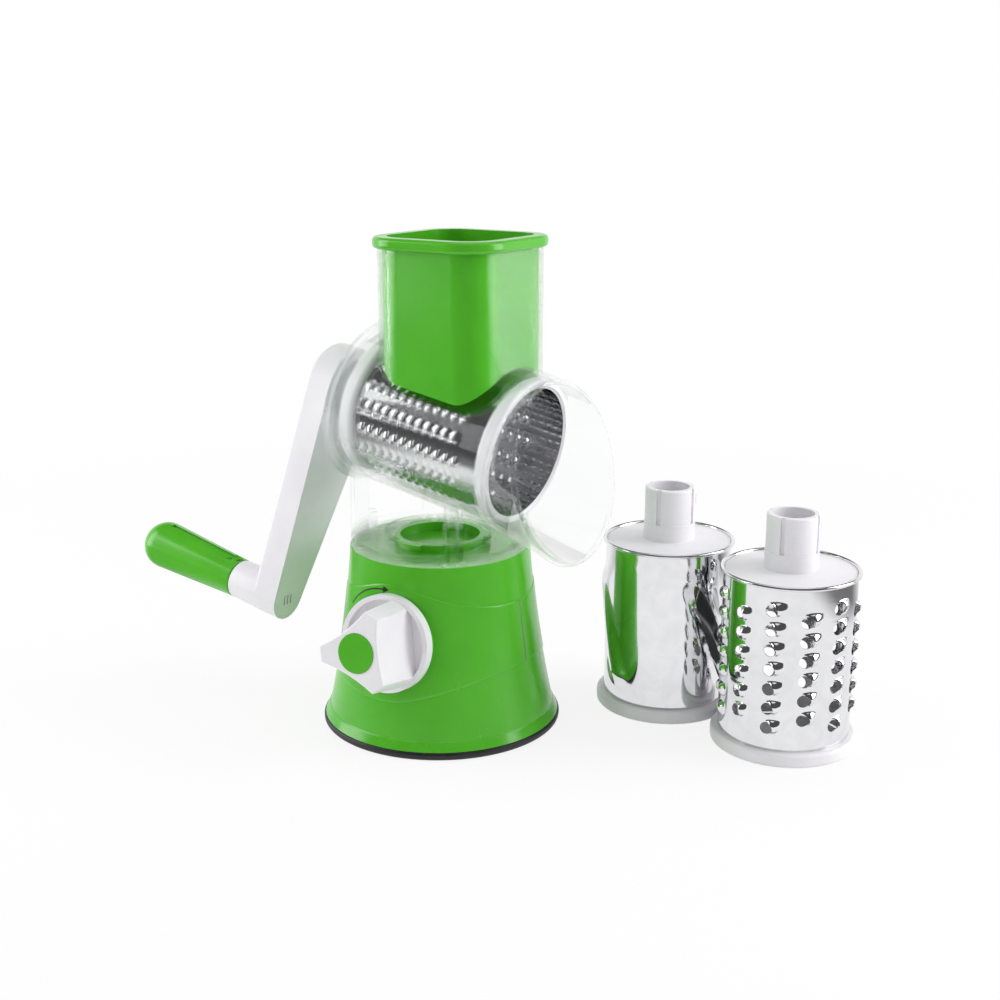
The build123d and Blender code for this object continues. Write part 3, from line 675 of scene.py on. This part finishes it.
slicer_place = upended(slicer_spot)
slicer = punched_tile(
    "slicing_sheet",
    width=around / 3,
    height=tile_length,
    side_points=16,
    hole=(slot_half, slot_half_length),
    loops=22,
    rise=slicer_rise,
)
slicer.data.transform(Matrix.Translation((0, plain_edge + tile_length / 2, 0)))
repeat(slicer, (around / 3, 0, 0), 3)
draw_out(slicer, plain_edge, -plain_edge)
draw_out(slicer, plain_edge + tile_length, plain_edge)
roll(slicer, slicer_place, turn=radians(17), slant=-tan(slot_slant) / drum_radius)
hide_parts("slicer_drum_sheet")
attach(slicer, "slicer_drum")

# Rolled edges of the spare drums' sheets.
bead_radius = 1.1 * mm
bead_offset = 0.75 * mm  # of the bead's middle, out from the sheet's face
for name, place, body in (
    ("coarse_rolled_edge", coarse_place, "coarse_drum"),
    ("slicer_rolled_edge", slicer_place, "slicer_drum"),
):
    bpy.ops.object.select_all(action="DESELECT")
    bpy.ops.mesh.primitive_torus_add(
        major_radius=drum_radius + bead_offset,
        minor_radius=bead_radius,
        major_segments=96,
        minor_segments=14,
    )
    edge = bpy.context.object
    edge.name = name
    edge.data.transform(place)
    edge.data.materials.append(mirror_steel)
    bpy.ops.object.shade_smooth()
    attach(edge, body)

# ---- Studio: the floor ----------------------------------------------------------------------------
scene = bpy.context.scene
scene.view_settings.view_transform = "Standard"
dim_room = 0.08  # brightness of the room where the white ends
table_middle = (0.13, -0.02, 0)

floor_paint = bpy.data.materials.new("pale_floor")
floor_paint.use_nodes = True
tree = floor_paint.node_tree
tree.nodes.clear()
matt = node(tree, "ShaderNodeBsdfDiffuse", {"Color": colour("#F2F2F2")})
ray = node(tree, "ShaderNodeLightPath")
spot = node(tree, "ShaderNodeTexCoord").outputs["Object"]
# In reflections the white of the table ends a third of a metre away, except towards the backdrop.
patch = span(tree, measure(tree, "DISTANCE", spot, table_middle), 0.31, 0.37, 1.0, dim_room)
behind = span(tree, measure(tree, "DOT_PRODUCT", spot, backdrop_side), 0.05, 0.25, 0.0, 1.0)
table = combine(tree, "MAXIMUM", patch, behind)
shine = node(
    tree,
    "ShaderNodeMapRange",
    {"To Min": 1.0},
    {"Value": ray.outputs["Is Glossy Ray"], "To Max": table},
)
white = node(
    tree, "ShaderNodeEmission", {"Color": colour("#FFFFFF")}, {"Strength": shine.outputs[0]}
)
seen = combine(tree, "MAXIMUM", ray.outputs["Is Camera Ray"], ray.outputs["Is Glossy Ray"])
seen = combine(tree, "MAXIMUM", seen, ray.outputs["Is Transmission Ray"])
# The floor turns into the white of the backdrop a step away from the set.
fade = span(tree, measure(tree, "LENGTH", spot), 0.3, 0.75, 0.82, 1.0)
share = combine(tree, "MULTIPLY", seen, fade)
# Inside the standing drums it is only as light as what falls in through their holes.
for x, y in (coarse_spot, slicer_spot):
    reach = measure(tree, "DISTANCE", spot, (x, y, 0))
    outside = node(
        tree,
        "ShaderNodeMath",
        {1: drum_radius - sheet_wall},
        {0: reach},
        operation="GREATER_THAN",
    )
    share = combine(tree, "MULTIPLY", share, outside.outputs[0])
mixed = node(
    tree, "ShaderNodeMixShader", links={0: share, 1: matt.outputs[0], 2: white.outputs[0]}
)
node(tree, "ShaderNodeOutputMaterial", links={"Surface": mixed.outputs[0]})

bpy.ops.object.select_all(action="DESELECT")
bpy.ops.mesh.primitive_plane_add(size=6, location=(0, 0, 0))
floor = bpy.context.object
floor.name = "floor"
floor.data.materials.append(floor_paint)

# ---- Studio: the surroundings ---------------------------------------------------------------------
world = bpy.data.worlds.new("white_studio")
scene.world = world
world.use_nodes = True
tree = world.node_tree
tree.nodes.clear()
ray = node(tree, "ShaderNodeLightPath")
seen = combine(tree, "MAXIMUM", ray.outputs["Is Camera Ray"], ray.outputs["Is Transmission Ray"])
strength = span(tree, seen, 0.0, 1.0, 0.58, 1.0)
# Reflections find the white backdrop behind the set and a dim room above and in front of it, so
# polished steel turns dark where it looks up.
aim = node(tree, "ShaderNodeTexCoord").outputs["Generated"]
behind = span(tree, measure(tree, "DOT_PRODUCT", aim, backdrop_side), 0.05, 0.4, dim_room, 1.0)
height = node(tree, "ShaderNodeSeparateXYZ", links={0: aim}).outputs["Z"]
backdrop = node(
    tree,
    "ShaderNodeMapRange",
    {"From Min": 0.35, "From Max": 0.6, "To Max": dim_room},
    {"Value": height, "To Min": behind},
)
strength = node(
    tree,
    "ShaderNodeMapRange",
    links={
        "Value": ray.outputs["Is Glossy Ray"],
        "To Min": strength,
        "To Max": backdrop.outputs[0],
    },
)
sky = node(
    tree, "ShaderNodeBackground", {"Color": colour("#FFFFFF")}, {"Strength": strength.outputs[0]}
)
node(tree, "ShaderNodeOutputWorld", links={"Surface": sky.outputs[0]})


def soft_box(name, place, target, width, height, power):
    """A rectangular soft light that looks at a point."""
    light = bpy.data.lights.new(name, "AREA")
    light.shape = "RECTANGLE"
    light.size = width
    light.size_y = height
    light.energy = power
    holder = bpy.data.objects.new(name, light)
    holder.location = place
    holder.rotation_euler = (Vector(target) - Vector(place)).to_track_quat("-Z", "Y").to_euler()
    scene.collection.objects.link(holder)


middle = (0.05, 0.0, 0.12)
soft_box("left_soft_box", (-0.85, -0.5, 0.45), middle, width=0.6, height=0.9, power=6)
soft_box("right_soft_box", (0.9, 0.45, 0.45), middle, width=0.6, height=0.9, power=7)
soft_box("top_soft_box", (0.1, 0.1, 1.1), middle, width=1.0, height=1.0, power=2.5)

# ---- Camera ---------------------------------------------------------------------------------------
lens = bpy.data.cameras.new("camera")
lens.lens = 52.755
lens.sensor_width = 36
camera = bpy.data.objects.new("camera", lens)
camera.location = (0.4457374, -0.6155633, 0.3255602)
view_direction = Vector((-0.5327602, 0.8056867, -0.2589120))
camera.rotation_euler = view_direction.to_track_quat("-Z", "Y").to_euler()
scene.collection.objects.link(camera)
scene.camera = camera
